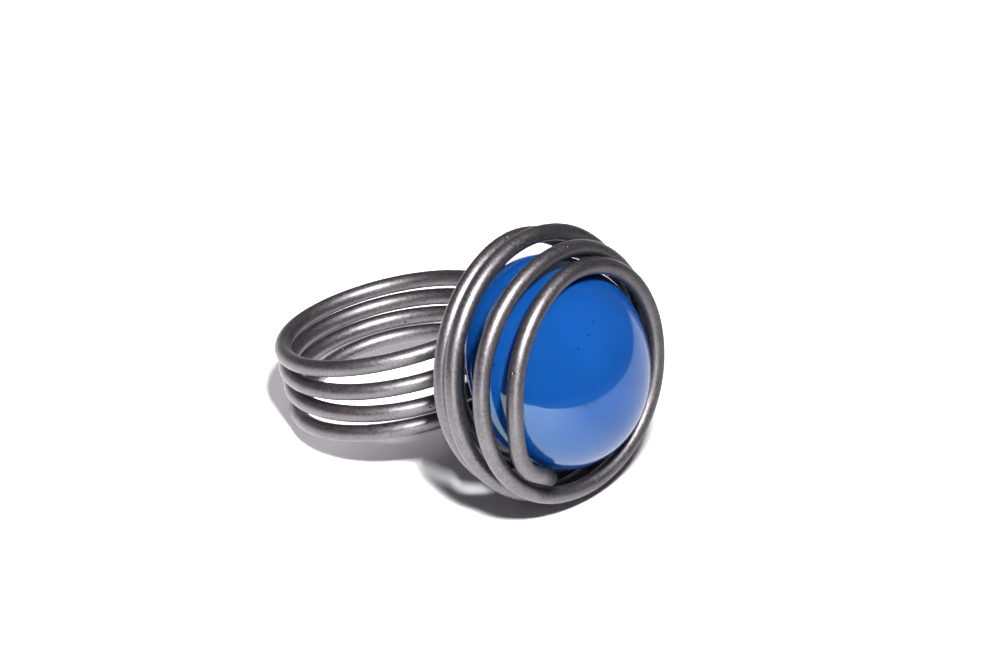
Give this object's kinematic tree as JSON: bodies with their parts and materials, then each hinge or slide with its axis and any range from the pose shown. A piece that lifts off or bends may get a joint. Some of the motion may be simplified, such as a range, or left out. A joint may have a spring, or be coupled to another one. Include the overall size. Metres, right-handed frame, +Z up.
{
  "type": "cabochon ring",
  "caption": "Finger ring bent from one round metal wire, coiled as an open band and then wrapped round a domed oval blue glass stone.",
  "frame": {"origin": "bottom centre of the box round the whole ring, on the surface that it rests on", "axes": "+Z up; +X from the back of the band towards the head, level; the ring lies on its side as it comes to rest, so the finger's axis leans about 16 degrees from +Z, away from the head"},
  "size_m": [0.0354, 0.0242, 0.0238],
  "materials": {
    "wire_metal": "satin, dark grey, finely speckled",
    "stone_glass": "polished, translucent deep blue"
  },
  "bodies": {
    "root": {"wire": "wire_metal", "stone": "stone_glass"}
  },
  "joints": []
}
